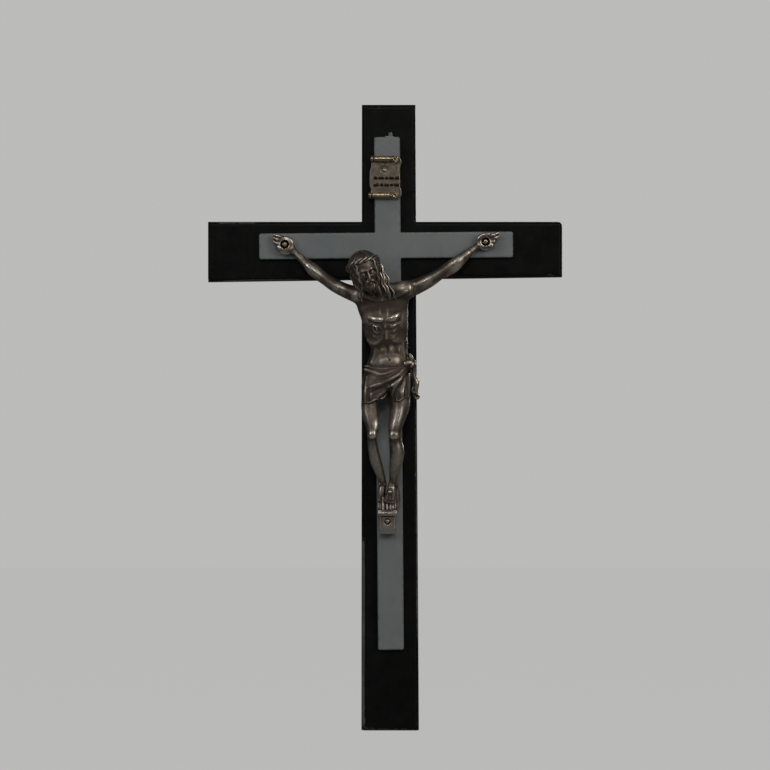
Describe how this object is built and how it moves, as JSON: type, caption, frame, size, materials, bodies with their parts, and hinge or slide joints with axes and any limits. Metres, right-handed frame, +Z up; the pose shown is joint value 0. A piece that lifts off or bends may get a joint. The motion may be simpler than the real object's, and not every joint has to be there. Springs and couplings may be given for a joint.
{
  "type": "wall crucifix",
  "caption": "Slim wall crucifix: black bevelled board cross, pale strip cross on its face, cast figure with loincloth and crown on a foot block, small rolled scroll above.",
  "frame": {"origin": "on the back of the board, at the middle of the crossing", "axes": "+Z up along the upright, -Y out of the front, +X towards the end of the right arm as seen from the front"},
  "size_m": [0.1441, 0.0299, 0.2546],
  "materials": {
    "black_lacquered_wood": "black lacquer, satin, worn to brown at the edges",
    "pale_strip": "moulded, pale grey with a cool green tint, satin, aged",
    "dark_cast_metal": "dark antiqued casting, rubbed bright on the high places",
    "golden_cast_metal": "antiqued brass colour, rubbed bright on the high places",
    "pin_metal": "domed pin heads, tarnished"
  },
  "bodies": {
    "root": {"board_cross": "black_lacquered_wood", "strip_cross": "pale_strip", "corpus": "dark_cast_metal", "scroll": "golden_cast_metal", "pin_left_hand": "pin_metal", "pin_right_hand": "pin_metal", "pin_foot_block": "pin_metal", "pin_scroll": "golden_cast_metal"}
  },
  "joints": []
}
